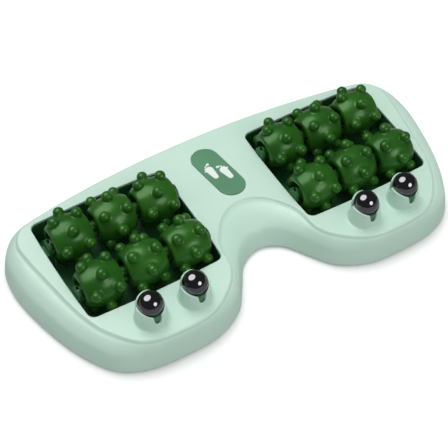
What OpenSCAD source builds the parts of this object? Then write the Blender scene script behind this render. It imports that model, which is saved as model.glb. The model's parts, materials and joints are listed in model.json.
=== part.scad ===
// Foot massage roller: a hollow moulded body shaped like a pair of goggles, with two open
// pockets of knobbed rollers on steel axles and four steel balls held in clawed collars.
// Millimetres, +Z up. The origin is the middle of the footprint on the table plane; the
// notch between the two lobes faces -Y and the arched back edge faces +Y.

/* [Body] */
// Length of the body from side to side
body_length = 323.8; // [316:0.2:332]
// Depth of the body from the lobes' front edge to the back edge
body_depth = 153.5; // [150:0.5:158]
// Height of the flat top above the table
top_z = 26; // [25:0.5:27]
// Gap that the rubber feet leave under the body
foot_gap = 1.2; // [0.8:0.1:1.6]
// Wall thickness of the moulded shell
wall = 2; // [1.8:0.1:2.2]

/* [Rollers] */
// Diameter of a roller at its widest, without its knobs
roller_d = 31.2; // [30.4:0.2:31.6]
// Height of the roller axles above the table
axle_z = 27.8; // [27.6:0.1:28.4]
// Diameter of the steel axle rods
axle_d = 4; // [3:0.5:4.5]
// Distance between neighbouring rollers on one axle
roller_pitch = 31.8; // [31.8:0.1:32.1]
// Distance between the two axles of a pocket
row_spacing = 44; // [44:0.2:44.6]
// Diameter of the round knobs
knob_d = 7.8; // [7:0.2:7.8]
// Radial clearance of a bore that turns on a rod
bore_gap = 0.06; // [0.02:0.01:0.1]

/* [Pockets] */
// Distance of each pocket's centre from the middle of the body
pocket_x = 82.8; // [82:0.2:84]
// Length of a pocket's opening along the axles
pocket_length = 100.8; // [100.6:0.2:102]
// Width of a pocket's opening across the axles
pocket_width = 91; // [90.5:0.5:92]
// Corner radius of a pocket's opening
pocket_corner = 4.5; // [3:0.5:6]
// Distance that the opening's edges bow outward
pocket_bow = 1.2; // [0.6:0.2:1.4]
// Distance that the opening's outer edge leans outward at the back
pocket_lean = 1.2; // [0:0.2:1.2]

/* [Steel balls] */
// Diameter of a steel ball
ball_d = 17; // [16:0.2:17.2]
// Height of the ball centres above the table
ball_z = 41.2; // [40.6:0.2:42]
// Distance between the two balls of one lobe
ball_pitch = 32; // [31:0.5:34]

/* [Badge] */
// Length of the pill-shaped badge from front to back
badge_length = 49; // [44:1:50]
// Width of the badge
badge_width = 20; // [18:1:21]
// Angle by which the badge leans to the left at the back
badge_lean = 8; // [0:1:10]

/* [Hidden] */
$fn = 96;
eps = 0.01;
mint = [0.80, 0.93, 0.86];
dark_green = [0.16, 0.36, 0.19];
liner_green = [0.20, 0.40, 0.27];
badge_green = [0.34, 0.56, 0.43];
steel = [0.72, 0.73, 0.75];
ball_steel = [0.35, 0.35, 0.38];

// Half of the footprint, from the middle of the notch round the right lobe to the middle of
// the back edge: [x, y, distance from the foot of the wall in to the edge of the flat top].
length_ratio = body_length / 323.8;
depth_ratio = body_depth / 153.5;
half_outline = [
    [0, -25.9, 26.5], [15.5, -32.5, 18], [27, -48.9, 7.6], [39, -64.6, 7.2],
    [60, -74.9, 4.8], [86, -76.75, 4.2], [110, -74.7, 5.8], [129, -65.9, 11],
    [141.5, -49.2, 12], [151, -27.7, 14], [158.5, -0.7, 16.2], [161.9, 23.3, 15.5],
    [158.5, 45.3, 11.5], [145, 59.9, 8], [122, 66.2, 7.5], [84, 72.1, 8],
    [42, 75.7, 8], [0, 76.75, 8]
];
outline_steps = 3;

// Outer skin from the foot of the wall to the flat top: [share of the step distance,
// further distance inward, height as a share of the body's height].
skin = [
    [0, 1, 0], [0, 0, 0.04], [0.05, 0, 0.23], [0.11, 0, 0.37], [0.17, 0, 0.48],
    [0.24, 0, 0.58], [0.33, 0, 0.64], [0.43, 0, 0.69], [0.54, 0, 0.74], [0.65, 0, 0.79],
    [0.76, 0, 0.84], [0.85, 0, 0.88], [0.91, 0, 0.915], [0.96, 0, 0.95], [1, 0, 1]
];
// The hollow under the skin, in the same terms; it starts below the body, so it is open.
hollow = [
    [0, wall, -0.1], [0.05, wall, 0.21], [0.11, wall, 0.34], [0.17, wall, 0.44],
    [0.26, wall, 0.53], [0.43, wall, 0.59], [0.67, wall, 0.68], [0.87, wall, 0.77],
    [0.97, wall, 0.85], [1.08, wall, 1 - wall / (top_z - foot_gap)]
];

// Rollers
row_mid_y = 7.8;
axle_r = axle_d / 2;
barrel_r = roller_d / 2;
barrel_long = 22;         // half length that the barrel would have if its ends came to a point
barrel_half = 14;         // from the roller's centre to its flat rim
barrel_steps = 12;
recess_r = 8.5;
recess_floor = 8.5;
hub_r = 4;
hub_half = 14.6;
knob_reach = 17.8;        // from the roller's centre to a knob's centre
knob_ring_x = 8.4;        // the two outer rings of knobs
end_gap = 0.2;
// How far each roller has been turned by hand: first, second and third from the left
rear_turns = [15.4, 62, 19.6];
front_turns = [24.8, 77, 71.7];

// Pockets, trays and the ears that hold the axles
pocket_mid_y = 8.55;
pocket_shift = 0.85;      // from the middle of the rollers out to the middle of the opening
tray_floor_z = 3.7;
tray_wall = 1.6;
tray_floor = 1.8;
tray_gap = 0.3;
tray_top_z = top_z - wall - 0.5;
ear_r = 4.6;
ear_t = 2.4;
ear_seat = 1.8;
ear_inner = roller_pitch + hub_half + end_gap;
rod_end = ear_inner + ear_seat - 0.1;

// Steel balls, cups and collars
ball_r = ball_d / 2;
ball_x = pocket_x - 0.8;
ball_y = -54.15;
ball_gap = 0.1;
cup_r = ball_r + 0.5;
cup_bottom_z = ball_z - 11.7;
cup_top_z = ball_z - 3.9;
collar_top_z = ball_z + 4;
lip_z = ball_z + 1.2;     // height of a collar's lip at its sides
lip_lean = 14;            // the lip's slope up towards the back, in degrees
pillar_r = cup_r - 0.4;

// Base plate, screws and feet
base_t = 2.2;
base_gap = 0.3;
base_top_z = foot_gap + base_t;
boss_z = 6;
boss_r = 4;
screw_r = 1.25;
screw_len = 12;
head_r = 2.8;
head_h = 2;
head_z = foot_gap + 0.6;
foot_r = 7;
foot_recess = 1;
half_screws = [[82, -64.6], [140.5, 7.5], [117.5, 60.1]];
mid_screws = [[0, 65.5], [0, 3]];
screw_places = concat(mid_screws, half_screws, [for (p = half_screws) [-p.x, p.y]]);
half_feet = [[22, 62], [134, 42], [104, -64], [54, -60]];
foot_places = concat(half_feet, [for (p = half_feet) [-p.x, p.y]]);

// Badge
badge_x = 1;
badge_y = 31.4;
badge_proud = 0.2;
badge_t = 1.2;
motif_t = 0.3;

// ---- The footprint curve and the stacks that follow it ----

half_count = len(half_outline);
control = [
    for (i = [0:2 * half_count - 3])
        let (k = i < half_count ? i : 2 * half_count - 2 - i, s = i < half_count ? 1 : -1)
            [s * half_outline[k].x * length_ratio, half_outline[k].y * depth_ratio,
             half_outline[k].z]
];
function wrap(i, n) = (i + n) % n;
function through(a, b, c, d, t) =
    b + (c - a) * t / 2 + (2 * a - 5 * b + 4 * c - d) * t * t / 2
      + (3 * b - 3 * c + d - a) * t * t * t / 2;
footprint = [
    for (i = [0:len(control) - 1], j = [0:outline_steps - 1])
        let (n = len(control))
            through(control[wrap(i - 1, n)], control[i], control[wrap(i + 1, n)],
                    control[wrap(i + 2, n)], j / outline_steps)
];
function inward(i) =
    let (n = len(footprint), a = footprint[wrap(i - 1, n)], b = footprint[wrap(i + 1, n)],
         d = [b.x - a.x, b.y - a.y])
        [-d.y, d.x] / norm(d);
function ring(share, further) = [
    for (i = [0:len(footprint) - 1])
        [footprint[i].x, footprint[i].y] + inward(i) * (share * footprint[i].z + further)
];

// A stack of slabs that follow the footprint, each further in than the one below it. A slab
// between two levels takes the lower level's ring, or the upper level's when inner is 1.
module stack(levels, inner) {
    height = top_z - foot_gap;
    for (k = [0:len(levels) - 2])
        translate([0, 0, foot_gap + levels[k][2] * height])
            linear_extrude((levels[k + 1][2] - levels[k][2]) * height)
                polygon(ring(levels[k + inner][0], levels[k + inner][1]));
}

// A rounded rectangle whose straight edges bow outward, grown by g on every side. The edge at
// +X is a pocket's outer edge, which leans outward at the back.
function arc(cx, cy, r, from) = [
    for (k = [0:6]) [cx + r * cos(from + 15 * k), cy + r * sin(from + 15 * k)]
];
function edge(a, b) = [for (k = [1:5]) a + (b - a) * k / 6];
function straight_outline(a, b, r) = concat(
    arc(a - r, b - r, r, 0), edge([a - r, b], [r - a, b]),
    arc(r - a, b - r, r, 90), edge([-a, b - r], [-a, r - b]),
    arc(r - a, r - b, r, 180), edge([r - a, -b], [a - r, -b]),
    arc(a - r, r - b, r, 270), edge([a, r - b], [a, b - r])
);
module pocket_shape(g) {
    a = pocket_length / 2 - pocket_bow;
    b = pocket_width / 2 - pocket_bow;
    polygon([
        for (p = straight_outline(a + g, b + g, pocket_corner + g))
            let (u = p.x / (a + g), v = p.y / (b + g))
                [p.x + sign(u) * pocket_bow * (1 - v * v) * u * u
                     + pocket_shift + pocket_lean * v * (1 + u) / 2,
                 p.y + sign(v) * pocket_bow * (1 - u * u) * v * v]
    ]);
}
module at_pocket(side)
    translate([side * pocket_x, pocket_mid_y, 0]) mirror([side < 0 ? 1 : 0, 0, 0]) children();
module at_row(side, row)
    translate([side * pocket_x, row_mid_y + row * row_spacing / 2, axle_z]) children();
module at_ball(side, place)
    translate([side * ball_x + place * ball_pitch / 2, ball_y, 0]) children();
module at_badge(z)
    translate([badge_x, badge_y, z]) rotate([0, 0, badge_lean]) children();
module pill(length, width, height)
    linear_extrude(height) {
        square([width, length - width], center = true);
        for (s = [-1, 1]) translate([0, s * (length - width) / 2]) circle(d = width);
    }

// ---- Casing ----

// Round wall of a collar, from its flared foot to its lip, before the claws are cut.
module collar_body()
    rotate_extrude()
        polygon([
            [0, top_z - wall / 2], [ball_r + 4.5, top_z - wall / 2],
            [ball_r + 2.9, top_z + 0.6], [ball_r + 2.2, top_z + 1.8],
            [ball_r + 1.8, top_z + 6], [ball_r + 1.5, ball_z - 2],
            [ball_r + 1.1, ball_z + 1], [ball_r + 0.3, collar_top_z],
            [0, collar_top_z]
        ]);

// A slit between two claws: wide at the lip, narrowing to a round end.
module claw_slit(angle, end_z, end_r, lip_r)
    rotate([0, 0, angle]) translate([ball_r - 3, 0, 0]) rotate([90, 0, 90])
        linear_extrude(8) {
            translate([0, end_z + end_r]) circle(end_r);
            polygon([[-end_r, end_z + end_r], [end_r, end_z + end_r],
                     [lip_r, collar_top_z + 1], [-lip_r, collar_top_z + 1]]);
        }

// Everything above a collar's leaning lip.
module above_lip()
    translate([0, 0, lip_z]) rotate([lip_lean, 0, 0]) translate([-ball_pitch / 2, -20, 0])
        cube([ball_pitch, 40, 20]);

module collar_hole() {
    translate([0, 0, top_z - wall - 2])
        cylinder(r = cup_r + ball_gap, h = cup_top_z + ball_gap - top_z + wall + 2);
    translate([0, 0, ball_z]) sphere(ball_r + ball_gap);
    claw_slit(-90, top_z + 5.5, 2, 3.6);
    claw_slit(30, top_z + 8.5, 1.6, 2.6);
    claw_slit(150, top_z + 8.5, 1.6, 2.6);
}

module shell_posts()
    for (p = screw_places) translate([p.x, p.y, boss_z]) cylinder(r = boss_r, h = top_z);

module top_shell() color(mint)
    difference() {
        union() {
            stack(skin, 0);
            for (side = [-1, 1], place = [-1, 1]) at_ball(side, place) difference() {
                collar_body();
                above_lip();
            }
        }
        difference() {
            stack(hollow, 1);
            shell_posts();
        }
        for (side = [-1, 1]) at_pocket(side) {
            linear_extrude(top_z + 1) pocket_shape(0);
            linear_extrude(tray_top_z + 0.1) pocket_shape(tray_gap + tray_wall + 0.1);
        }
        for (side = [-1, 1], place = [-1, 1]) at_ball(side, place) collar_hole();
        at_badge(top_z + badge_proud - badge_t)
            pill(badge_length + 0.2, badge_width + 0.2, badge_t);
        for (p = screw_places)
            translate([p.x, p.y, boss_z - eps]) cylinder(r = screw_r + 0.05, h = screw_len);
    }

module base_plate() color(mint * 0.93)
    difference() {
        union() {
            translate([0, 0, foot_gap]) linear_extrude(base_t)
                polygon(ring(hollow[1][0], wall + base_gap));
            for (p = screw_places)
                translate([p.x, p.y, foot_gap]) cylinder(r = boss_r, h = boss_z - foot_gap);
            for (side = [-1, 1], place = [-1, 1]) at_ball(side, place)
                cylinder(r = pillar_r, h = cup_bottom_z);
            for (side = [-1, 1], x = [-1, 1]) at_pocket(side)
                translate([x * pocket_length / 4 - 1, -pocket_width / 3, foot_gap])
                    cube([2, pocket_width / 1.5, tray_floor_z - foot_gap]);
        }
        for (side = [-1, 1], place = [-1, 1]) at_ball(side, place)
            translate([0, 0, -eps]) {
                cylinder(r = pillar_r - 2, h = cup_bottom_z + 1);
                cylinder(r = pillar_r + 1, h = foot_gap + eps);
            }
        for (p = screw_places) translate([p.x, p.y, 0]) {
            cylinder(r = screw_r + 0.35, h = boss_z + 1);
            cylinder(r = head_r + 0.3, h = head_z + head_h);
        }
        for (p = foot_places) translate([p.x, p.y, 0])
            cylinder(r = foot_r + 0.15, h = foot_gap + foot_recess);
    }

// ---- Pocket liners with the ears that hold the axles ----

module ear(end, row)
    translate([0, row * row_spacing / 2 + row_mid_y - pocket_mid_y, 0]) rotate([90, 0, 90])
        translate([0, 0, end > 0 ? ear_inner : -ear_inner - ear_t]) linear_extrude(ear_t) {
            translate([-ear_r, tray_floor_z + 1]) square([2 * ear_r, axle_z - tray_floor_z - 1]);
            translate([0, axle_z]) circle(ear_r);
        }

// The block that carries an ear out to the liner's wall and past it.
module ear_block(end, row)
    translate([end * (ear_inner + 4.5), row * row_spacing / 2 + row_mid_y - pocket_mid_y,
               (tray_top_z + tray_floor_z) / 2 + 0.5])
        cube([6, 2 * ear_r, tray_top_z - tray_floor_z - 1], center = true);

// The seat is a round hole, open to the top through a neck a little narrower than the rod.
module rod_seat(row)
    translate([0, row * row_spacing / 2 + row_mid_y - pocket_mid_y, axle_z])
        rotate([90, 0, 90])
            translate([0, 0, -ear_inner - ear_seat]) linear_extrude(2 * (ear_inner + ear_seat)) {
                circle(axle_r + bore_gap);
                translate([0.3 - axle_r, 0]) square([2 * axle_r - 0.6, ear_r + 1]);
            }

module tray(side) color(liner_green)
    at_pocket(side) difference() {
        union() {
            difference() {
                translate([0, 0, tray_floor_z]) linear_extrude(tray_top_z - tray_floor_z)
                    pocket_shape(tray_gap + tray_wall);
                translate([0, 0, tray_floor_z + tray_floor]) linear_extrude(top_z)
                    pocket_shape(tray_gap);
            }
            for (end = [-1, 1], row = [-1, 1]) ear(end, row);
            intersection() {
                for (end = [-1, 1], row = [-1, 1]) ear_block(end, row);
                linear_extrude(top_z) pocket_shape(tray_gap + tray_wall);
            }
        }
        for (row = [-1, 1]) rod_seat(row);
    }
module tray_left() tray(-1);
module tray_right() tray(1);

// ---- Rollers and axles ----

module axle(side, row) color(steel)
    at_row(side, row) rotate([0, 90, 0]) rotate_extrude()
        polygon([[0, -rod_end], [axle_r - 0.4, -rod_end], [axle_r, 0.4 - rod_end],
                 [axle_r, rod_end - 0.4], [axle_r - 0.4, rod_end], [0, rod_end]]);
module axle_left_rear() axle(-1, 1);
module axle_left_front() axle(-1, -1);
module axle_right_rear() axle(1, 1);
module axle_right_front() axle(1, -1);

// Three rings of four knobs; the middle ring is half a step out of line with the others.
module knobs(turn)
    for (ring_x = [-knob_ring_x, 0, knob_ring_x], k = [0:3]) {
        reach = sqrt(knob_reach * knob_reach - ring_x * ring_x);
        angle = turn + 90 * k + (ring_x == 0 ? 45 : 0);
        translate([ring_x, -reach * cos(angle), reach * sin(angle)]) sphere(d = knob_d, $fn = 48);
    }

// Outline of a roller without its knobs, turned about its axle: a barrel with flat rims, a
// round recess in each end, a hub in the middle of each recess and the bore.
function barrel_radius(x) = barrel_r * sqrt(1 - x * x / (barrel_long * barrel_long));
function end_outline(s) = [
    [barrel_radius(barrel_half), s * barrel_half], [recess_r, s * barrel_half],
    [recess_r, s * recess_floor], [hub_r, s * recess_floor], [hub_r, s * hub_half],
    [axle_r + bore_gap, s * hub_half]
];
function reversed(list) = [for (i = [len(list) - 1:-1:0]) list[i]];
module barrel()
    rotate([0, 90, 0]) rotate_extrude()
        polygon(concat(
            [for (k = [1 - barrel_steps:barrel_steps - 1])
                let (x = barrel_half * k / barrel_steps) [barrel_radius(x), x]],
            end_outline(1), reversed(end_outline(-1))
        ));

module roller(side, row, place) color(dark_green)
    at_row(side, row) translate([(place - 2) * roller_pitch, 0, 0]) {
        barrel();
        knobs((row > 0 ? rear_turns : front_turns)[place - 1]);
    }
module roller_left_rear_1() roller(-1, 1, 1);
module roller_left_rear_2() roller(-1, 1, 2);
module roller_left_rear_3() roller(-1, 1, 3);
module roller_left_front_1() roller(-1, -1, 1);
module roller_left_front_2() roller(-1, -1, 2);
module roller_left_front_3() roller(-1, -1, 3);
module roller_right_rear_1() roller(1, 1, 1);
module roller_right_rear_2() roller(1, 1, 2);
module roller_right_rear_3() roller(1, 1, 3);
module roller_right_front_1() roller(1, -1, 1);
module roller_right_front_2() roller(1, -1, 2);
module roller_right_front_3() roller(1, -1, 3);

// Sleeves that keep the rollers apart on the rods.
module roller_spacers() color(dark_green)
    for (side = [-1, 1], row = [-1, 1], between = [-0.5, 0.5]) at_row(side, row)
        translate([between * roller_pitch, 0, 0]) rotate([0, 90, 0]) difference() {
            cylinder(r = hub_r, h = roller_pitch - 2 * hub_half - 2 * end_gap, center = true);
            cylinder(r = axle_r + bore_gap, h = roller_pitch, center = true);
        }

// ---- Steel balls and their cups ----

module ball_cup(side, place) color(dark_green)
    at_ball(side, place) difference() {
        translate([0, 0, cup_bottom_z]) cylinder(r = cup_r, h = cup_top_z - cup_bottom_z);
        translate([0, 0, ball_z]) sphere(ball_r + ball_gap);
        translate([0, 0, cup_bottom_z - 1]) cylinder(r = 1.5, h = 10);
    }
module ball_cup_left_outer() ball_cup(-1, -1);
module ball_cup_left_inner() ball_cup(-1, 1);
module ball_cup_right_inner() ball_cup(1, -1);
module ball_cup_right_outer() ball_cup(1, 1);

module steel_ball(side, place) color(ball_steel)
    at_ball(side, place) translate([0, 0, ball_z]) sphere(ball_r);
module steel_ball_left_outer() steel_ball(-1, -1);
module steel_ball_left_inner() steel_ball(-1, 1);
module steel_ball_right_inner() steel_ball(1, -1);
module steel_ball_right_outer() steel_ball(1, 1);

// ---- Badge with a plain pair of footprints ----

module badge_plate() color(badge_green)
    at_badge(top_z + badge_proud - badge_t) pill(badge_length, badge_width, badge_t);

// One footprint, heel at the origin, toes towards +Y; the big toe is on the s side.
module footprint_mark(s) {
    circle(1.9, $fn = 32);
    polygon([[-1.9, 0], [1.9, 0], [s > 0 ? 3.1 : 2.7, 7.6], [s > 0 ? -2.7 : -3.1, 7.6]]);
    translate([s * 0.2, 7.6]) circle(2.9, $fn = 32);
}
module toe_marks(s)
    for (k = [0:4])
        translate([s * (2.2 - 1.35 * k), 12.4 - 0.28 * k * k]) circle(k == 0 ? 1 : 0.62, $fn = 24);
module badge_motif() color("white")
    at_badge(top_z + badge_proud) linear_extrude(motif_t)
        for (s = [-1, 1]) translate([-s * 4.2, -6 + s * 3]) {
            footprint_mark(s);
            toe_marks(s);
        }

// ---- Fasteners and feet ----

module screws() color(steel)
    for (p = screw_places) translate([p.x, p.y, head_z]) difference() {
        union() {
            cylinder(r = head_r, h = head_h);
            cylinder(r = screw_r, h = head_h + screw_len - 2);
        }
        for (turn = [0, 90]) rotate([0, 0, turn])
            translate([-1.6, -0.4, -eps]) cube([3.2, 0.8, 1]);
    }

module rubber_feet() color("dimgray")
    for (p = foot_places) translate([p.x, p.y, 0])
        rotate_extrude()
            polygon([[0, 0], [foot_r - 0.6, 0], [foot_r, 0.6],
                     [foot_r, foot_gap + foot_recess], [0, foot_gap + foot_recess]]);

top_shell();
base_plate();
tray_left();
tray_right();
axle_left_rear();
axle_left_front();
axle_right_rear();
axle_right_front();
roller_left_rear_1();
roller_left_rear_2();
roller_left_rear_3();
roller_left_front_1();
roller_left_front_2();
roller_left_front_3();
roller_right_rear_1();
roller_right_rear_2();
roller_right_rear_3();
roller_right_front_1();
roller_right_front_2();
roller_right_front_3();
roller_spacers();
ball_cup_left_outer();
ball_cup_left_inner();
ball_cup_right_inner();
ball_cup_right_outer();
steel_ball_left_outer();
steel_ball_left_inner();
steel_ball_right_inner();
steel_ball_right_outer();
badge_plate();
badge_motif();
screws();
rubber_feet();
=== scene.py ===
"""Foot massage roller: the looks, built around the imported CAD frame.

Lengths are in millimetres until a mesh is made, where MM turns them into metres. The frame's
origin is the middle of the footprint on the table, +Z is up and the notch faces -Y.
"""
import json
import math

import bmesh
import bpy
import numpy as np
from mathutils import Matrix, Vector
from mathutils.geometry import tessellate_polygon


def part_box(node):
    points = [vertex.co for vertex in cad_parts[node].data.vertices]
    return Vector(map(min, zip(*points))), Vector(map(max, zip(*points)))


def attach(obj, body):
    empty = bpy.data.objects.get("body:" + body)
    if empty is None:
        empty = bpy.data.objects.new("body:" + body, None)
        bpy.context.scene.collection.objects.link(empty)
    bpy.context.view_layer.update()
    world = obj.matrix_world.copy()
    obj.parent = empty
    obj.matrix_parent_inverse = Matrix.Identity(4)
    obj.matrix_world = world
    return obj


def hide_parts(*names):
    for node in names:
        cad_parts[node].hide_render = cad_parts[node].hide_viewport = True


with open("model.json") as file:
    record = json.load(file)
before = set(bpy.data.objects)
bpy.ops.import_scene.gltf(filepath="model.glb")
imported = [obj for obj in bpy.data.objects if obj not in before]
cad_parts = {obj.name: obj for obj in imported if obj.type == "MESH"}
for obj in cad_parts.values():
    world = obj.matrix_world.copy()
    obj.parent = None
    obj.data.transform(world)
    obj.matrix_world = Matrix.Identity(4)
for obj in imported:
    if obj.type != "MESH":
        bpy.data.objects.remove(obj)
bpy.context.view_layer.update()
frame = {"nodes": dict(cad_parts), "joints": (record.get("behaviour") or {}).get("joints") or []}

MM = 0.001


def box_mm(node):
    """Lowest and highest corner of a CAD node, in millimetres."""
    low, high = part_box(node)
    return np.array(low) / MM, np.array(high) / MM


# ---------------------------------------------------------------- sizes

JOINT_PLACE = {
    joint["child"]: np.array(joint["pos_m"]) / MM for joint in frame["joints"]
}
badge_low, badge_high = box_mm("badge_plate")
steel_low, steel_high = box_mm("steel_ball_right_inner")
STEEL_R = (steel_high[0] - steel_low[0]) / 2

FOOT_GAP = 1.2                       # height of the body's lower edge above the table
TOP_Z = 26.0                         # height of the flat top above the table
WALL = 2.0                           # thickness of the moulded shell
POCKET_MIDDLE = (83.65, 8.55)
POCKET_HALF = (49.2, 44.3)           # at the corners, before the edges bow outward
POCKET_BOW = 1.2
POCKET_LEAN = 1.2                    # how far the outer edge leans outward at the back
POCKET_CORNER = 4.5
BADGE_MIDDLE = (1, 31.4)
BADGE_HALF = (10, 24.5)              # half of its width and of its length
BADGE_LEAN = math.radians(8)         # to the left at the back

# Half of the footprint, from the notch round the right lobe to the middle of the back edge:
# x, y, and the distance from the foot of the wall in to the edge of the flat top.
HALF_OUTLINE = (
    (0, -25.9, 26.5), (15.5, -32.5, 18), (27, -48.9, 7.6), (39, -64.6, 7.2),
    (60, -74.9, 4.8), (86, -76.75, 4.2), (110, -74.7, 5.8), (129, -65.9, 11),
    (141.5, -49.2, 12), (151, -27.7, 14), (158.5, -0.7, 16.2), (161.9, 23.3, 15.5),
    (158.5, 45.3, 11.5), (145, 59.9, 8), (122, 66.2, 7.5), (84, 72.1, 8),
    (42, 75.7, 8), (0, 76.75, 8),
)
OUTLINE_STEPS = 10                   # points on the curve for each point of the outline
LEVEL_STEPS = 3                      # rings for each level of the skin and of the hollow

# Outer skin: share of the step distance, further distance inward, height above the table.
SKIN = (
    (0, 1.2, FOOT_GAP), (0, 0.45, 1.5), (0, 0.1, 2.1), (0, 0, 3.2), (0.05, 0, 7),
    (0.11, 0, 10.6), (0.17, 0, 13.5), (0.21, 0, 15.1), (0.255, 0, 16.4), (0.32, 0, 17.7),
    (0.42, 0, 19.2), (0.54, 0, 20.7), (0.66, 0, 21.9), (0.77, 0, 22.8), (0.85, 0, 23.3),
    (0.91, 0, 23.7), (0.955, 0, 24.2), (1, 0, 24.9), (1, 0.4, 25.42), (1, 0.8, 25.8),
    (1, 1.3, TOP_Z),
)
# The hollow inside, in the same terms, from the foot of the wall up to the plate's underside.
HOLLOW = (
    (0, WALL, FOOT_GAP), (0, WALL, 3), (0.05, WALL, 6.4), (0.11, WALL, 9.6), (0.17, WALL, 12.1),
    (0.26, WALL, 14.3), (0.43, WALL, 15.8), (0.67, WALL, 18), (0.87, WALL, 20.2),
    (0.97, WALL, 22.2), (1.08, WALL, TOP_Z - WALL),
)


# ---------------------------------------------------------------- curves

def catmull(a, b, c, d, t):
    """Point at t between b and c on the smooth curve through a, b, c and d."""
    return 0.5 * (
        2 * b + (c - a) * t + (2 * a - 5 * b + 4 * c - d) * t * t
        + (3 * b - 3 * c + d - a) * t ** 3
    )


def closed_curve(points, steps):
    """A smooth closed curve through the points, with steps points for each of them."""
    points = np.array(points, float)
    n = len(points)
    return np.array([
        catmull(points[i - 1], points[i], points[(i + 1) % n], points[(i + 2) % n], j / steps)
        for i in range(n) for j in range(steps)
    ])


def open_curve(points, steps):
    """A smooth curve from the first of the points to the last."""
    points = np.array(points, float)
    padded = np.vstack([points[:1], points, points[-1:]])
    rows = [
        catmull(padded[i], padded[i + 1], padded[i + 2], padded[i + 3], j / steps)
        for i in range(len(points) - 1) for j in range(steps)
    ]
    return np.array(rows + [points[-1]])


def footprint_curve():
    """The whole outline, counter-clockwise, with each point's step distance."""
    right = np.array(HALF_OUTLINE, float)
    left = right[1:-1][::-1] * np.array([-1, 1, 1])
    return closed_curve(np.vstack([right, left]), OUTLINE_STEPS)


FOOTPRINT = footprint_curve()


def inward_normals(points):
    along = np.roll(points, -1, axis=0) - np.roll(points, 1, axis=0)
    normals = np.stack([-along[:, 1], along[:, 0]], axis=1)
    return normals / np.linalg.norm(normals, axis=1)[:, None]


INWARD = inward_normals(FOOTPRINT[:, :2])


def body_ring(share, further, z):
    """A level of the skin or the hollow, in the terms of SKIN."""
    xy = FOOTPRINT[:, :2] + INWARD * (share * FOOTPRINT[:, 2:3] + further)
    return np.column_stack([xy, np.full(len(xy), z)])


CORNER_POINTS = 9                    # on each corner of a pocket's opening
EDGE_PARTS = 24                      # on each of its straight edges
PILL_POINTS = 33                     # on each round end of the badge


def on_circle(centre, radius, turn):
    """Points on a circle at the angles in turn, one row of x and y for each."""
    return np.column_stack([centre[0] + radius * np.cos(turn), centre[1] + radius * np.sin(turn)])


def pocket_ring(side, grow, z):
    """A pocket's opening, grown by grow: a rounded rectangle with edges that bow outward."""
    a, b = POCKET_HALF[0] + grow, POCKET_HALF[1] + grow
    r = POCKET_CORNER + grow
    centres = ((a - r, b - r), (r - a, b - r), (r - a, r - b), (a - r, r - b))
    quarter = np.linspace(0, 90, CORNER_POINTS)
    corners = [on_circle(c, r, np.radians(90 * k + quarter)) for k, c in enumerate(centres)]
    points = []
    for corner, following in zip(corners, corners[1:] + corners[:1]):
        gap = following[0] - corner[-1]
        edge = [corner[-1] + gap * j / EDGE_PARTS for j in range(1, EDGE_PARTS)]
        points += [corner, np.array(edge)]
    p = np.vstack(points)
    u, v = p[:, 0] / a, p[:, 1] / b
    x = p[:, 0] + np.sign(u) * POCKET_BOW * (1 - v * v) * u * u + POCKET_LEAN * v * (1 + u) / 2
    y = p[:, 1] + np.sign(v) * POCKET_BOW * (1 - u * u) * v * v
    x, y = x + POCKET_MIDDLE[0], y + POCKET_MIDDLE[1]
    return np.column_stack([side * x, y, np.full(len(x), z)])


def pill_ring(grow, z):
    """The badge's outline, grown by grow on every side."""
    half_width, half_length = BADGE_HALF[0] + grow, BADGE_HALF[1] + grow
    straight = half_length - half_width
    end = on_circle((0, straight), half_width, np.radians(np.linspace(0, 180, PILL_POINTS)))
    points = np.vstack([end, -end])
    cos, sin = math.cos(BADGE_LEAN), math.sin(BADGE_LEAN)
    x = BADGE_MIDDLE[0] + cos * points[:, 0] - sin * points[:, 1]
    y = BADGE_MIDDLE[1] + sin * points[:, 0] + cos * points[:, 1]
    return np.column_stack([x, y, np.full(len(x), z)])


# ---------------------------------------------------------------- mesh making

class Shape:
    """Rings of points, stitched into one mesh."""

    def __init__(self):
        self.points, self.faces, self.flat = [], [], []

    def ring(self, points):
        start = len(self.points)
        self.points += [tuple(p) for p in points]
        return list(range(start, start + len(points)))

    def bridge(self, lower, upper):
        n = len(lower)
        for i in range(n):
            j = (i + 1) % n
            self.faces.append((lower[i], lower[j], upper[j], upper[i]))
            self.flat.append(False)

    def tube(self, rings):
        """Stitches rings of points one after another; returns the first and last ring."""
        made = [self.ring(r) for r in rings]
        for lower, upper in zip(made, made[1:]):
            self.bridge(lower, upper)
        return made[0], made[-1]

    def fill(self, *loops):
        """A flat face inside the first loop, with the other loops as holes."""
        vectors = [[Vector(self.points[i][:2]).to_3d() for i in loop] for loop in loops]
        flat_index = [i for loop in loops for i in loop]
        for triangle in tessellate_polygon(vectors):
            self.faces.append(tuple(flat_index[i] for i in triangle))
            self.flat.append(True)

    def build(self, name, material):
        mesh = bpy.data.meshes.new(name)
        mesh.from_pydata([tuple(c * MM for c in p) for p in self.points], [], self.faces)
        mesh.polygons.foreach_set("use_smooth", [not f for f in self.flat])
        made = bmesh.new()
        made.from_mesh(mesh)
        bmesh.ops.recalc_face_normals(made, faces=made.faces)
        made.to_mesh(mesh)
        made.free()
        mesh.materials.append(material)
        piece = bpy.data.objects.new(name, mesh)
        bpy.context.scene.collection.objects.link(piece)
        return piece


def ring_about_x(radius, x, columns):
    """Points on a circle about the X axis."""
    turn = np.radians(np.arange(columns) * 360 / columns)
    return np.column_stack([np.full(columns, float(x)), -radius * np.cos(turn),
                            radius * np.sin(turn)])


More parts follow.
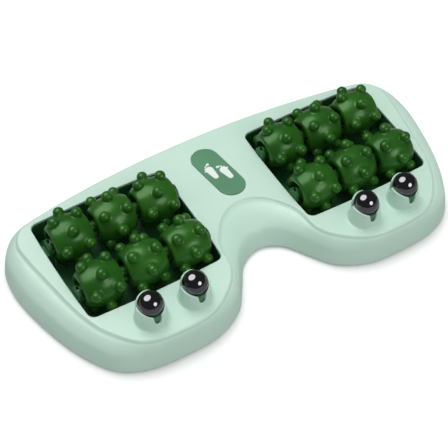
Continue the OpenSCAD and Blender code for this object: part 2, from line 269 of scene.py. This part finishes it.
def rounded_corner(a, b, c, radius, steps=4):
    """Points that round the corner b between a and c, all as (radius, x)."""
    a, b, c = (np.array(p, float) for p in (a, b, c))
    start = b + (a - b) / np.linalg.norm(a - b) * radius
    end = b + (c - b) / np.linalg.norm(c - b) * radius
    t = np.linspace(0, 1, steps + 1)[:, None]
    return [tuple(p) for p in (1 - t) ** 2 * start + 2 * t * (1 - t) * b + t ** 2 * end]


# ---------------------------------------------------------------- materials

# Waves in a metre of the noises that vary a moulded surface.
COLOUR_WAVES = 35
GLOSS_WAVES = 160
GRAIN_WAVES = 2600
NOISE_LOW, NOISE_HIGH = 0.3, 0.7     # most of a noise's values lie between these
GRAIN_DEPTH = 0.0001                 # metres
SCRATCH_DEPTH = 0.00005              # metres
BODY_GLOW = (0.002, 0.003, 0.002)    # how far red, green and blue light spread in the plastic
COAT_ROUGHNESS = 0.12
SMOOTHER, ROUGHER = 0.05, 0.06       # how far a plastic's roughness strays down and up
SCRATCH_SHADE = 0.8                  # a metal's colour in its scratches, and its roughness
POLISHED, SCRATCHED = 0.7, 1.4       # between and in them, as shares of the usual ones
BEVEL_SAMPLES = 6


def new_material(name):
    material = bpy.data.materials.new(name)
    material.use_nodes = True
    tree = material.node_tree
    tree.nodes.clear()
    output = tree.nodes.new("ShaderNodeOutputMaterial")
    shader = tree.nodes.new("ShaderNodeBsdfPrincipled")
    tree.links.new(shader.outputs["BSDF"], output.inputs["Surface"])
    coordinates = tree.nodes.new("ShaderNodeTexCoord")
    return material, tree, shader, coordinates.outputs["Object"]


def noise(tree, source, scale, detail, roughness=0.5):
    node = tree.nodes.new("ShaderNodeTexNoise")
    node.inputs["Scale"].default_value = scale
    node.inputs["Detail"].default_value = detail
    node.inputs["Roughness"].default_value = roughness
    tree.links.new(source, node.inputs["Vector"])
    return node.outputs["Fac"]


def ranged(tree, source, low, high):
    """Maps a noise to low..high."""
    node = tree.nodes.new("ShaderNodeMapRange")
    node.inputs["From Min"].default_value = NOISE_LOW
    node.inputs["From Max"].default_value = NOISE_HIGH
    node.inputs["To Min"].default_value = low
    node.inputs["To Max"].default_value = high
    tree.links.new(source, node.inputs["Value"])
    return node.outputs["Result"]


def mixed(tree, factor, low, high):
    """The colour low where factor is 0 and high where it is 1."""
    node = tree.nodes.new("ShaderNodeMix")
    node.data_type = "RGBA"
    node.inputs["A"].default_value = (*low, 1)
    node.inputs["B"].default_value = (*high, 1)
    tree.links.new(factor, node.inputs["Factor"])
    return node.outputs["Result"]


def bumped(tree, height, strength, distance, normal=None):
    """Turns a noise into small bumps, distance high, on top of a given normal."""
    node = tree.nodes.new("ShaderNodeBump")
    node.inputs["Strength"].default_value = strength
    node.inputs["Distance"].default_value = distance
    tree.links.new(height, node.inputs["Height"])
    if normal is not None:
        tree.links.new(normal, node.inputs["Normal"])
    return node.outputs["Normal"]


def bevelled(tree, radius):
    """A normal that makes sharp edges look rounded."""
    node = tree.nodes.new("ShaderNodeBevel")
    node.samples = BEVEL_SAMPLES
    node.inputs["Radius"].default_value = radius
    return node.outputs["Normal"]


def moulded_plastic(name, low, high, roughness, grain=0.15, coat=0.0, edge=0.0, subsurface=0.0,
                    sheen=0.5, tint=(1, 1, 1)):
    """Injection-moulded plastic: faint colour drift, uneven gloss and a fine surface grain.

    Its colour drifts between low and high, and tint is the colour of its sheen.
    """
    material, tree, shader, place = new_material(name)
    drift = ranged(tree, noise(tree, place, COLOUR_WAVES, 2), 0, 1)
    tree.links.new(mixed(tree, drift, low, high), shader.inputs["Base Color"])
    uneven = noise(tree, place, GLOSS_WAVES, 4)
    rough = ranged(tree, uneven, roughness - SMOOTHER, roughness + ROUGHER)
    tree.links.new(rough, shader.inputs["Roughness"])
    normal = bevelled(tree, edge) if edge else None
    fine = noise(tree, place, GRAIN_WAVES, 2)
    tree.links.new(bumped(tree, fine, grain, GRAIN_DEPTH, normal), shader.inputs["Normal"])
    shader.inputs["Specular IOR Level"].default_value = sheen
    shader.inputs["Specular Tint"].default_value = (*tint, 1)
    shader.inputs["Coat Weight"].default_value = coat
    shader.inputs["Coat Roughness"].default_value = COAT_ROUGHNESS
    if subsurface:
        shader.inputs["Subsurface Weight"].default_value = subsurface
        shader.inputs["Subsurface Radius"].default_value = BODY_GLOW
    return material


def polished_metal(name, colour, roughness, scratch_scale, scratch_strength, stretch=1.0):
    """Metal with hairline scratches that catch the light."""
    material, tree, shader, place = new_material(name)
    shader.inputs["Metallic"].default_value = 1
    mapping = tree.nodes.new("ShaderNodeMapping")
    mapping.inputs["Scale"].default_value = (1, stretch, stretch)
    tree.links.new(place, mapping.inputs["Vector"])
    lines = noise(tree, mapping.outputs["Vector"], scratch_scale, 6, 0.7)
    darker = tuple(c * SCRATCH_SHADE for c in colour)
    tree.links.new(mixed(tree, ranged(tree, lines, 0, 1), darker, colour),
                   shader.inputs["Base Color"])
    tree.links.new(ranged(tree, lines, roughness * POLISHED, roughness * SCRATCHED),
                   shader.inputs["Roughness"])
    bumps = bumped(tree, lines, scratch_strength, SCRATCH_DEPTH)
    tree.links.new(bumps, shader.inputs["Normal"])
    return material


MINT = moulded_plastic("mint_plastic", (0.53, 0.74, 0.625), (0.56, 0.765, 0.655), 0.42,
                       grain=0.10, subsurface=0.06)
BASE = moulded_plastic("base_plastic", (0.42, 0.62, 0.53), (0.47, 0.67, 0.57), 0.55,
                       grain=0.3, edge=0.0003)
LINER = moulded_plastic("liner_plastic", (0.026, 0.140, 0.046), (0.034, 0.170, 0.056), 0.62,
                        grain=0.25, edge=0.0006, sheen=0.22)
ROLLER = moulded_plastic("roller_plastic", (0.012, 0.085, 0.006), (0.026, 0.125, 0.010), 0.31,
                         grain=0.12, coat=0.10, sheen=0.45, tint=(0.60, 1.0, 0.55))
CUP = moulded_plastic("cup_plastic", (0.035, 0.14, 0.06), (0.05, 0.18, 0.08), 0.32,
                      grain=0.1, edge=0.0003)
BADGE = moulded_plastic("badge_plastic", (0.074, 0.23, 0.118), (0.088, 0.262, 0.138), 0.36,
                        grain=0.12)
PRINT = moulded_plastic("motif_print", (0.72, 0.80, 0.76), (0.80, 0.86, 0.83), 0.5, grain=0.1)
RUBBER = moulded_plastic("foot_rubber", (0.018, 0.019, 0.019), (0.03, 0.031, 0.03), 0.8,
                         grain=0.6, edge=0.0003)
BLACK_CHROME = polished_metal("black_chrome", (0.19, 0.185, 0.20), 0.06, 900, 0.02)
ROD_STEEL = polished_metal("rod_steel", (0.55, 0.56, 0.58), 0.28, 1500, 0.12, stretch=12)
SCREW_STEEL = polished_metal("screw_steel", (0.50, 0.50, 0.52), 0.35, 2500, 0.2)


# ---------------------------------------------------------------- the casing

RIM_ROUND = 0.7                      # radius of a pocket's rounded upper edge
EDGE_ROW = 0.15                      # a narrow row of faces that keeps a sharp edge crisp
BADGE_ROUND = 0.35                   # radius of the badge's rounded edge
ROUNDING_ROWS = 6                    # points across a rounded edge

COLLAR_COLUMNS = 288
OUTSIDE_ROWS, LIP_ROWS, INSIDE_ROWS = 15, 9, 7
COLLAR_BASE = STEEL_R + 4.6          # radius where the collar's foot meets the flat top
COLLAR_HOLE = STEEL_R + 0.6          # radius of the hole in the shell's underside
COLLAR_TALL = 17                     # height over which the outer wall is described
COLLAR_OUT = 2.15                    # from the ball's surface out to that wall at its foot
COLLAR_TAPER, COLLAR_DRAWN_IN = 0.75, 0.35
FLARE_TALL = 3.4                     # height of the flared foot
CLAW_WALL = 1.35                     # thickness of the claws
CLAW_HALF = 60                       # degrees from a claw's middle to the middle of a slit
LIP_MIDDLE = 0.3                     # height of the lip above the ball's centre, at the sides
LIP_RISE = 2.2                       # how much higher the lip is at the back
CLAW_DROP = 2.2                      # how much lower a claw is at its corners than in its middle
SLIT_ROUND = 1.4                     # how much a slit's floor curves up towards its sides
# Slits between the claws: direction in degrees, height of the floor above the ball's centre,
# and half the slit's width at the floor and at the lip, in degrees.
SLITS = ((-90, -9.8, 13, 19), (30, -6.5, 10, 15), (150, -6.5, 10, 15))


def smooth_step(low, high, x):
    t = np.clip((x - low) / (high - low), 0, 1)
    return t * t * (3 - 2 * t)


def degrees_apart(angle, centre):
    return np.abs((angle - centre + 180) % 360 - 180)


def collar_rim_height(angle):
    """Height of a collar's lip above the ball's centre, by angle in degrees.

    The lip leans up towards the back, each claw is highest in its middle, and three slits
    with round ends part the claws.
    """
    height = LIP_MIDDLE + LIP_RISE * np.sin(np.radians(angle))
    away = np.min([degrees_apart(angle, slit[0]) for slit in SLITS], axis=0)
    crown = np.radians(90 / CLAW_HALF * np.clip(away, 0, CLAW_HALF))
    height = height - CLAW_DROP * (1 - np.sin(crown))
    for centre, depth, inner, outer in SLITS:
        off = degrees_apart(angle, centre)
        floor = depth + SLIT_ROUND * np.clip(off / inner, 0, 1.3) ** 2
        height = floor + (height - floor) * smooth_step(inner * 0.85, outer, off)
    return height


def collar_outer_radius(z):
    """Outer radius of a collar at height z above the table: nearly straight, drawn in on top."""
    t = np.clip((z - TOP_Z) / COLLAR_TALL, 0, 1)
    return STEEL_R + COLLAR_OUT - COLLAR_TAPER * t - COLLAR_DRAWN_IN * t ** 4


def add_collar(shape, centre):
    """One clawed collar. Returns its ring on the flat top and its ring on the underside."""
    angle = np.arange(COLLAR_COLUMNS) * 360 / COLLAR_COLUMNS
    cos, sin = np.cos(np.radians(angle)), np.sin(np.radians(angle))

    def at(radius, z):
        radius = radius * np.ones(COLLAR_COLUMNS)
        z = z * np.ones(COLLAR_COLUMNS)
        return np.column_stack([centre[0] + radius * cos, centre[1] + radius * sin, z])

    foot_z = TOP_Z + FLARE_TALL
    foot_r = collar_outer_radius(foot_z)
    flare = open_curve([(COLLAR_BASE, TOP_Z), (COLLAR_BASE - 0.75, TOP_Z + 0.1),
                        (foot_r + 0.75, TOP_Z + 0.75), (foot_r + 0.2, TOP_Z + 1.9),
                        (foot_r, foot_z)], 4)
    rings = [at(r, z) for r, z in flare]

    half = CLAW_WALL / 2
    cap = half * 0.8                 # height of the lip's rounding
    shoulder = centre[2] + collar_rim_height(angle) - cap
    for v in np.linspace(0, 1, OUTSIDE_ROWS)[1:]:
        z = foot_z + v * (shoulder - foot_z)
        rings.append(at(collar_outer_radius(z), z))

    outer = collar_outer_radius(shoulder)
    for turn in np.radians(np.linspace(0, 180, LIP_ROWS)[1:]):
        radius = outer - half + half * math.cos(turn)
        rings.append(at(radius, shoulder + cap * math.sin(turn)))

    inner = outer - CLAW_WALL
    for v in np.linspace(0, 1, INSIDE_ROWS)[1:]:
        z = shoulder + v * (TOP_Z - WALL - shoulder)
        rings.append(at(inner + v * (COLLAR_HOLE - inner), z))
    return shape.tube(rings)


def make_shell():
    """The body: skin, hollow, pocket openings, collars and the badge's recess in one mesh."""
    shape = Shape()
    skin = [body_ring(*level) for level in open_curve(SKIN, LEVEL_STEPS)]
    foot, top_edge = shape.tube(skin)
    hollow = [body_ring(*level) for level in open_curve(HOLLOW, LEVEL_STEPS)]
    inside, plate_edge = shape.tube(hollow)
    shape.bridge(foot, inside)

    top_holes, under_holes = [], []
    for side in (-1, 1):
        rings = [
            pocket_ring(side, RIM_ROUND * (1 - math.sin(t)), TOP_Z - RIM_ROUND * (1 - math.cos(t)))
            for t in np.radians(np.linspace(0, 90, ROUNDING_ROWS))
        ]
        rings.append(pocket_ring(side, 0, TOP_Z - WALL + EDGE_ROW))
        rings.append(pocket_ring(side, 0, TOP_Z - WALL))
        upper, lower = shape.tube(rings)
        top_holes.append(upper)
        under_holes.append(lower)
    for name, place in JOINT_PLACE.items():
        if name.startswith("steel_ball"):
            upper, lower = add_collar(shape, place)
            top_holes.append(upper)
            under_holes.append(lower)

    # The badge's recess: how much wider than the badge, and how far below the top.
    recess_depth = TOP_Z - badge_low[2] + 0.02
    recess = [(0.75, 0), (0.5, 0.06), (0.33, 0.24), (0.25, 0.5), (0.25, recess_depth)]
    upper, lower = shape.tube([pill_ring(grow, TOP_Z - depth) for grow, depth in recess])
    top_holes.append(upper)
    shape.fill(lower)
    shape.fill(top_edge, *top_holes)
    shape.fill(plate_edge, *under_holes)
    shell = shape.build("body_shell", MINT)
    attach(shell, "casing")
    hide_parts("top_shell")


def make_badge():
    """The pill plate with a softly rounded edge."""
    shape = Shape()
    levels = [(0, badge_low[2])]
    levels += [(-BADGE_ROUND * (1 - math.cos(t)), badge_high[2] - BADGE_ROUND * (1 - math.sin(t)))
               for t in np.radians(np.linspace(0, 90, ROUNDING_ROWS))]
    first, last = shape.tube([pill_ring(grow, z) for grow, z in levels])
    shape.fill(first)
    shape.fill(last)
    badge = shape.build("badge", BADGE)
    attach(badge, "casing")
    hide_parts("badge_plate")


# ---------------------------------------------------------------- rollers and balls

BARREL_R = 15.6
BARREL_LONG = 20.4                   # half length if the barrel's ends came to a point
BARREL_HALF = 14.0                   # from the roller's middle to its flat rim
RIM_ROUNDING = 1.0
RIM_STOP = 0.2                       # from the last ring that knobs can shape to the flat rim
RECESS_R = 8.5
RECESS_FLOOR = 8.5                   # from the roller's middle to the floor of the recess
RECESS_DRAFT = 0.3                   # how much narrower the recess is at its floor
HUB_R = 4.0
HUB_HALF = 14.6
HUB_DRAFT = 0.2                      # how much thicker the hub is at its foot
BORE_R = 2.06
BORE_CHAMFER = 0.25
KNOB_R = 3.9
KNOB_REACH = 17.8                    # from the roller's middle to a knob's middle
KNOB_RING_X = 8.4                    # the two outer rings of knobs
KNOBS_IN_RING = 4
KNOB_NECK = math.radians(118)        # how far round from its tip a knob stays a ball
KNOB_CLEAR = 0.3                     # least height of a knob's neck above the barrel
BULB_REACH, KNOB_FOOT = 3.4, 5.2     # parts of the surface that turn into bulb and fillet
ROLLER_COLUMNS = 256
ROLLER_ROWS = 84
# How far round each roller stands at rest, in degrees, from the left of its row.
TURNS = {"rear": (15.4, 62, 19.6), "front": (24.8, 77, 71.7)}
BALL_CUTS = 23                       # cuts across each face of the cube that becomes a ball


def barrel_radius(x):
    """Radius of the barrel x from its middle; its rims are rounded."""
    past = np.clip(abs(x) - (BARREL_HALF - RIM_ROUNDING), 0, RIM_ROUNDING)
    rounding = RIM_ROUNDING - np.sqrt(RIM_ROUNDING ** 2 - past ** 2)
    return BARREL_R * np.sqrt(1 - (x / BARREL_LONG) ** 2) - rounding


def knob_places(turn):
    """Middles of the knobs; the middle ring is half a step out of line with the others."""
    step = 360 / KNOBS_IN_RING
    for ring_x in (-KNOB_RING_X, 0, KNOB_RING_X):
        reach = math.sqrt(KNOB_REACH ** 2 - ring_x ** 2)
        for k in range(KNOBS_IN_RING):
            angle = math.radians(turn + step * k + (step / 2 if ring_x == 0 else 0))
            yield np.array((ring_x, -reach * math.cos(angle), reach * math.sin(angle)))


def raise_knob(points, knob):
    """Moves points of the barrel's surface near a knob on to the knob's ball and its neck.

    Points up to BULB_REACH from the knob's axis spread over the ball, from its tip down to
    where it nears the barrel. Points from there to KNOB_FOOT join the ball to the barrel.
    """
    axis = knob / KNOB_REACH
    semi_axes = np.array((BARREL_LONG, BARREL_R, BARREL_R))
    foot = 1 / np.linalg.norm(axis / semi_axes)
    normal = axis / semi_axes ** 2
    along = points @ axis
    sideways = points - along[:, None] * axis
    off = np.linalg.norm(sideways, axis=1)
    near = (along > 0) & (off < KNOB_FOOT)
    outward = sideways / np.maximum(off, 1e-9)[:, None]
    surface = (foot - BULB_REACH * (outward @ normal) / (axis @ normal)
               - BULB_REACH ** 2 / (2 * BARREL_R))
    lowest = np.clip((surface + KNOB_CLEAR - KNOB_REACH) / KNOB_R, math.cos(KNOB_NECK), 0.5)
    angle = np.arccos(lowest) * np.clip(off / BULB_REACH, 0, 1)
    bulb = (axis * (KNOB_REACH + KNOB_R * np.cos(angle))[:, None]
            + outward * (KNOB_R * np.sin(angle))[:, None])
    t = np.clip((off - BULB_REACH) / (KNOB_FOOT - BULB_REACH), 0, 1)
    share = (1 - (1 - t) ** 2)[:, None]
    return np.where(near[:, None], bulb * (1 - share) + points * share, points)


def roller_rings(turn):
    """Rings of one roller about its middle.

    First the knobbed barrel from left to right, then the right end's recess, hub and bore,
    and out through the left end in the same way.
    """
    knobs = list(knob_places(turn))
    rings = []
    limit = BARREL_HALF - RIM_STOP
    for x in np.linspace(-limit, limit, ROLLER_ROWS):
        points = ring_about_x(barrel_radius(x), x, ROLLER_COLUMNS)
        for knob in knobs:
            points = raise_knob(points, knob)
        rings.append(points)

    rim_r = float(barrel_radius(BARREL_HALF))
    corners = [(float(barrel_radius(limit)), limit), (rim_r, BARREL_HALF), (RECESS_R, BARREL_HALF),
               (RECESS_R - RECESS_DRAFT, RECESS_FLOOR), (HUB_R + HUB_DRAFT, RECESS_FLOOR),
               (HUB_R, HUB_HALF), (BORE_R, HUB_HALF)]
    corner_radii = (0.15, 0.3, 0.8, 0.8, 0.4)
    profile = []
    for before, corner, after, radius in zip(corners, corners[1:], corners[2:], corner_radii):
        profile += rounded_corner(before, corner, after, radius)
    profile += [(BORE_R + BORE_CHAMFER, HUB_HALF), (BORE_R, HUB_HALF - BORE_CHAMFER),
                (BORE_R, 0)]
    right = [ring_about_x(radius, x, ROLLER_COLUMNS) for radius, x in profile]
    left = [ring * np.array([-1, 1, 1]) for ring in right[-2::-1]]
    return rings + right + left


def make_roller(node):
    _, _, row, place = node.split("_")
    turn = TURNS[row][int(place) - 1]
    shape = Shape()
    first, last = shape.tube([ring + JOINT_PLACE[node] for ring in roller_rings(turn)])
    shape.bridge(last, first)
    piece = shape.build("knobbed_" + node, ROLLER)
    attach(piece, node)
    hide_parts(node)


def make_steel_ball(node):
    """A ground ball: a finely divided cube blown up to a sphere, so it has no poles."""
    made = bmesh.new()
    bmesh.ops.create_cube(made, size=2)
    bmesh.ops.subdivide_edges(made, edges=made.edges[:], cuts=BALL_CUTS, use_grid_fill=True)
    for vertex in made.verts:
        spread = Vector([math.tan(c * math.pi / 4) for c in vertex.co])
        vertex.co = (spread.normalized() * STEEL_R + Vector(JOINT_PLACE[node])) * MM
    for face in made.faces:
        face.smooth = True
    mesh = bpy.data.meshes.new("polished_" + node)
    made.to_mesh(mesh)
    made.free()
    mesh.materials.append(BLACK_CHROME)
    piece = bpy.data.objects.new("polished_" + node, mesh)
    bpy.context.scene.collection.objects.link(piece)
    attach(piece, node)
    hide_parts(node)


def paint(node, material):
    """Gives a CAD node that stays in view its material."""
    slots = frame["nodes"][node].data.materials
    slots.clear()
    slots.append(material)


# ---------------------------------------------------------------- put it together

make_shell()
make_badge()
for node in frame["nodes"]:
    if node.startswith("roller_") and node != "roller_spacers":
        make_roller(node)
    elif node.startswith("steel_ball"):
        make_steel_ball(node)
    elif node.startswith("ball_cup"):
        paint(node, CUP)
    elif node.startswith("tray"):
        paint(node, LINER)
    elif node.startswith("axle"):
        paint(node, ROD_STEEL)
paint("roller_spacers", ROLLER)
paint("base_plate", BASE)
paint("badge_motif", PRINT)
paint("screws", SCREW_STEEL)
paint("rubber_feet", RUBBER)


# ---------------------------------------------------------------- stage, light and camera

FLOOR_REACH = 4.0                    # metres from the middle to each edge
FLOOR_BOUNCE = (0.62, 0.62, 0.62)    # how pale the floor is for the light that it throws back
FLOOR_MIRRORED = (0.33, 0.33, 0.34)  # and in shiny surfaces
FLOOR_GLOW = 0.10                    # keeps the floor's shadows faint where the camera sees them


def make_floor():
    """A pale floor that looks white, and throws back less light than it would if it were."""
    mesh = bpy.data.meshes.new("floor")
    corners = [(x * FLOOR_REACH, y * FLOOR_REACH, 0) for x, y in
               ((-1, -1), (1, -1), (1, 1), (-1, 1))]
    mesh.from_pydata(corners, [], [(0, 1, 2, 3)])
    material, tree, shader, place = new_material("pale_floor")
    cloudy = ranged(tree, noise(tree, place, 3, 2), 0, 1)
    seen = mixed(tree, cloudy, (0.97, 0.97, 0.97), (0.99, 0.99, 0.99))
    path = tree.nodes.new("ShaderNodeLightPath")
    bounced = mixed(tree, path.outputs["Is Diffuse Ray"], (1, 1, 1), FLOOR_BOUNCE)
    tree.links.new(seen, bounced.node.inputs["A"])
    colour = mixed(tree, path.outputs["Is Glossy Ray"], (1, 1, 1), FLOOR_MIRRORED)
    tree.links.new(bounced, colour.node.inputs["A"])
    tree.links.new(colour, shader.inputs["Base Color"])
    glow = tree.nodes.new("ShaderNodeMapRange")
    glow.inputs["To Max"].default_value = FLOOR_GLOW
    tree.links.new(path.outputs["Is Camera Ray"], glow.inputs["Value"])
    tree.links.new(glow.outputs["Result"], shader.inputs["Emission Strength"])
    shader.inputs["Emission Color"].default_value = (1, 1, 1, 1)
    shader.inputs["Roughness"].default_value = 0.9
    shader.inputs["Specular IOR Level"].default_value = 0.1
    mesh.materials.append(material)
    floor = bpy.data.objects.new("floor", mesh)
    bpy.context.scene.collection.objects.link(floor)


# Directions of the lights from the object, in view axes: right, up and towards the camera.
KEY_DIRECTION = (-0.12, 0.80, 0.58)
KEY_REFLECTION_DIRECTION = (-0.43, 0.71, 0.55)
FILL_DIRECTION = (0.655, -0.09, 0.75)
LIGHT_DISTANCE, MIRRORED_DISTANCE = 1.7, 1.6
HORIZON, ZENITH = 0.36, 0.70         # brightness of the surroundings
MIRRORED_SURROUNDINGS = 0.07         # and of what shiny surfaces mirror

CAMERA_AZIMUTH = -31.0
CAMERA_ELEVATION = 50.9
CAMERA_ROLL = 0.6
CAMERA_DISTANCE = 0.805
CAMERA_TARGET = Vector((-0.0211, -0.0143, 0.030))
LENS = 96.3
SENSOR_WIDTH = 36


def view_axes():
    """The camera's right, up and back directions."""
    a, e, roll = (math.radians(v) for v in (CAMERA_AZIMUTH, CAMERA_ELEVATION, CAMERA_ROLL))
    back = Vector((math.sin(a) * math.cos(e), -math.cos(a) * math.cos(e), math.sin(e)))
    right = (-back).cross(Vector((0, 0, 1))).normalized()
    up = right.cross(-back)
    return (right * math.cos(roll) + up * math.sin(roll),
            up * math.cos(roll) - right * math.sin(roll), back)


def make_camera():
    right, up, back = view_axes()
    data = bpy.data.cameras.new("camera")
    data.lens = LENS
    data.sensor_width = SENSOR_WIDTH
    camera = bpy.data.objects.new("camera", data)
    place = Matrix((right, up, back)).transposed().to_4x4()
    place.translation = CAMERA_TARGET + back * CAMERA_DISTANCE
    camera.matrix_world = place
    bpy.context.scene.collection.objects.link(camera)
    bpy.context.scene.camera = camera


def add_round_light(name, direction, radius, power, mirrored):
    """A round soft light, seen from the object in a direction given in view axes.

    It lights either the shiny reflections (mirrored) or everything else, never both.
    """
    distance = MIRRORED_DISTANCE if mirrored else LIGHT_DISTANCE
    right, up, back = view_axes()
    towards = (right * direction[0] + up * direction[1] + back * direction[2]).normalized()
    data = bpy.data.lights.new(name, "AREA")
    data.shape = "DISK"
    data.size = radius * 2
    data.energy = power
    light = bpy.data.objects.new(name, data)
    light.matrix_world = (
        Matrix.Translation(towards * distance)
        @ towards.to_track_quat("Z", "Y").to_matrix().to_4x4()
    )
    light.visible_diffuse = not mirrored
    light.visible_glossy = mirrored
    bpy.context.scene.collection.objects.link(light)


def make_surroundings():
    """A sky brighter overhead for the diffuse light; shiny surfaces mirror a darker room."""
    world = bpy.data.worlds.new("studio")
    world.use_nodes = True
    world.cycles.sampling_method = "NONE"
    tree = world.node_tree
    background = tree.nodes["Background"]
    direction = tree.nodes.new("ShaderNodeTexCoord")
    split = tree.nodes.new("ShaderNodeSeparateXYZ")
    tree.links.new(direction.outputs["Generated"], split.inputs["Vector"])
    sky = tree.nodes.new("ShaderNodeMapRange")
    sky.inputs["To Min"].default_value = HORIZON
    sky.inputs["To Max"].default_value = ZENITH
    tree.links.new(split.outputs["Z"], sky.inputs["Value"])
    path = tree.nodes.new("ShaderNodeLightPath")
    strength = tree.nodes.new("ShaderNodeMapRange")
    tree.links.new(path.outputs["Is Glossy Ray"], strength.inputs["Value"])
    tree.links.new(sky.outputs["Result"], strength.inputs["To Min"])
    strength.inputs["To Max"].default_value = MIRRORED_SURROUNDINGS
    tree.links.new(strength.outputs["Result"], background.inputs["Strength"])
    background.inputs["Color"].default_value = (1, 1, 1, 1)
    bpy.context.scene.world = world


def make_light():
    add_round_light("key", KEY_DIRECTION, radius=0.5, power=12.2, mirrored=False)
    add_round_light("fill", FILL_DIRECTION, radius=0.5, power=4, mirrored=False)
    add_round_light("key_reflection", KEY_REFLECTION_DIRECTION, radius=0.80, power=24,
                    mirrored=True)
    add_round_light("fill_reflection", FILL_DIRECTION, radius=0.42, power=8, mirrored=True)
    make_surroundings()
    bpy.context.scene.view_settings.view_transform = "Standard"


make_floor()
make_camera()
make_light()
